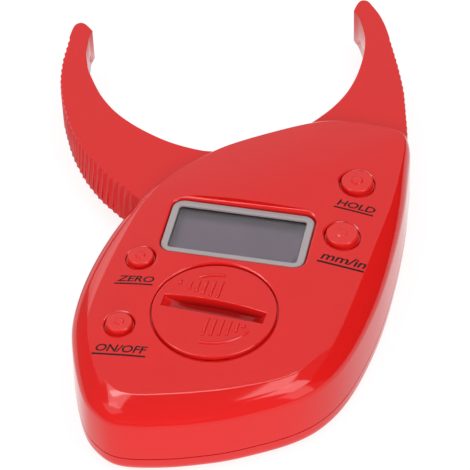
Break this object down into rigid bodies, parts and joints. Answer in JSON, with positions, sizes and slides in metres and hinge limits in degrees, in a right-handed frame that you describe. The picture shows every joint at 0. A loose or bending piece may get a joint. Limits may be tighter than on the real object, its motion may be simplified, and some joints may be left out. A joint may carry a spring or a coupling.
{
  "type": "digital skinfold caliper",
  "caption": "Hand-held red skinfold caliper with a sprung jaw that closes on a fixed one, a display, round keys and a coin cell under a bayonet cover.",
  "frame": {"origin": "on the flat back of the rear cover, under the jaw pivot's axis", "axes": "+Z out of the face along the jaw pivot, +Y from the handle to the jaws along the case, +X to the fixed jaw's side"},
  "size_m": [0.1042, 0.1674, 0.0228],
  "materials": {
    "shell_red": "glossy moulded ABS",
    "key_red": "glossy moulded ABS",
    "bezel_grey": "satin moulded bezel",
    "window_clear": "clear acrylic pane",
    "display_grey": "blank liquid crystal display",
    "foil_white": "white reflector foil",
    "rubber_black": "layered conductive rubber",
    "board_green": "green solder mask",
    "steel": "plain steel",
    "nylon_white": "natural nylon",
    "plastic_black": "black moulded plastic"
  },
  "bodies": {
    "case": {"top_cover": "shell_red", "rear_cover": "shell_red", "fixed_jaw": "shell_red", "pivot_pin": "steel", "pivot_washer": "nylon_white", "jaw_spring": "steel", "circuit_board": "board_green", "control_chip": "plastic_black", "display_frame": "bezel_grey", "display_window": "window_clear", "lcd_glass": "display_grey", "lcd_reflector": "foil_white", "zebra_strip_near": "rubber_black", "zebra_strip_far": "rubber_black", "hold_switch": "plastic_black", "unit_switch": "plastic_black", "zero_switch": "plastic_black", "power_switch": "plastic_black", "battery": "steel", "battery_contact_negative": "steel", "battery_contact_positive": "steel", "case_screw_1": "steel", "case_screw_2": "steel", "case_screw_3": "steel", "case_screw_4": "steel", "jaw_screw_1": "steel", "jaw_screw_2": "steel", "board_screw_1": "steel", "board_screw_2": "steel", "board_screw_3": "steel"},
    "jaw": {"moving_jaw": "shell_red", "sensor_rotor": "plastic_black"},
    "hold_key": {"hold_button": "key_red"},
    "unit_key": {"unit_button": "key_red"},
    "zero_key": {"zero_button": "key_red"},
    "power_key": {"power_button": "key_red"},
    "cell_cover": {"battery_cover": "shell_red"}
  },
  "joints": [
    {"name": "jaw_pivot", "type": "hinge", "parent": "case", "child": "jaw", "pos_m": [0, 0, 0.011], "axis": [0, 0, -1], "range_deg": [0, 57.2], "stiffness_Nm_per_rad": 0.3, "springref_deg": -20.05, "deforming": ["jaw_spring"]},
    {"name": "hold_press", "type": "slide", "parent": "case", "child": "hold_key", "axis": [0, 0, -1], "range_m": [0, 0.0005], "stiffness_N_per_m": 400},
    {"name": "unit_press", "type": "slide", "parent": "case", "child": "unit_key", "axis": [0, 0, -1], "range_m": [0, 0.0005], "stiffness_N_per_m": 400},
    {"name": "zero_press", "type": "slide", "parent": "case", "child": "zero_key", "axis": [0, 0, -1], "range_m": [0, 0.0005], "stiffness_N_per_m": 400},
    {"name": "power_press", "type": "slide", "parent": "case", "child": "power_key", "axis": [0, 0, -1], "range_m": [0, 0.0005], "stiffness_N_per_m": 400},
    {"name": "battery_cover_turn", "type": "hinge", "parent": "case", "child": "cell_cover", "pos_m": [0.00192, -0.0505, 0.0205], "axis": [0, 0, 1], "range_deg": [0, 45]}
  ]
}
